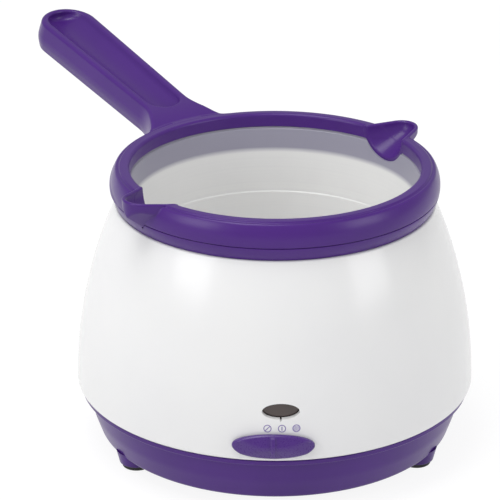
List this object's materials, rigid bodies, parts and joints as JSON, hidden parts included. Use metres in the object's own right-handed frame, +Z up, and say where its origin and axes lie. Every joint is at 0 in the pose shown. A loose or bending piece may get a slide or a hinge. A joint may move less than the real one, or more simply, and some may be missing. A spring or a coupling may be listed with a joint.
{
  "type": "electric chocolate melting pot",
  "caption": "Electric chocolate melting pot: a lift-out pot with two pouring beaks and a long handle, in a heated base with a slide knob and a lamp window",
  "frame": {"origin": "on the pot's vertical axis, in the plane of the undersides of the three feet", "axes": "+Z up along the pot's axis; the slide knob and the lamp window face -Y; the cord inlet faces +Y"},
  "size_m": [0.1982, 0.2448, 0.1522],
  "materials": {
    "white_plastic": "smooth moulded, low gloss",
    "purple_plastic": "smooth moulded, satin",
    "black_rubber": "moulded, matt",
    "black_plastic": "moulded, matt",
    "cream_plastic": "moulded, matt",
    "smoked_plastic": "polished, clear smoked brown",
    "silicone": "moulded, smooth",
    "coated_aluminium": "pale grey non-stick coating, satin",
    "spun_aluminium": "spun, fine rings",
    "cast_aluminium": "turned face",
    "steel": "zinc plated",
    "mica": "layered sheet, matt",
    "ceramic": "unglazed, matt",
    "lamp_glass": "clear, tinted orange",
    "wire_sleeve": "heat-proof sleeve, satin"
  },
  "bodies": {
    "base": {"outer_shell": "white_plastic", "well_liner": "spun_aluminium", "base_pan": "purple_plastic", "foot_pads": "black_rubber", "base_screws": "steel", "liner_screws": "steel", "heater_plate": "cast_aluminium", "heating_element": "mica", "heater_clamp": "steel", "heater_screws": "steel", "thermostat": "ceramic", "thermostat_screws": "steel", "thermal_fuse": "steel", "fuse_clip": "steel", "switch_body": "black_plastic", "switch_screws": "steel", "warm_diode": "black_plastic", "indicator_lens": "smoked_plastic", "lamp_holder": "white_plastic", "indicator_lamp": "lamp_glass", "terminal_block": "cream_plastic", "inlet_bush": "black_rubber", "wiring": "wire_sleeve"},
    "knob": {"switch_knob": "purple_plastic"},
    "slider": {"switch_slider": "cream_plastic"},
    "pot": {"melting_pot": "coated_aluminium", "upper_collar": "purple_plastic", "lower_collar": "purple_plastic", "rim_seal": "silicone", "collar_screws": "steel", "handle_cover": "purple_plastic", "handle_screws": "steel"}
  },
  "joints": [
    {"name": "pot_lift", "type": "slide", "parent": "base", "child": "pot", "axis": [0, 0, 1], "range_m": [0, 0.08]},
    {"name": "knob_turn", "type": "hinge", "parent": "base", "child": "knob", "pos_m": [0, 0, 0.0354], "axis": [0, 0, 1], "range_deg": [0, 4.6]},
    {"name": "slider_slide", "type": "slide", "parent": "base", "child": "slider", "axis": [1, 0, 0], "range_m": [0, 0.0066]}
  ],
  "couplings": [
    {"joint": "slider_slide", "follows": "knob_turn", "m_per_rad": 0.0819}
  ]
}
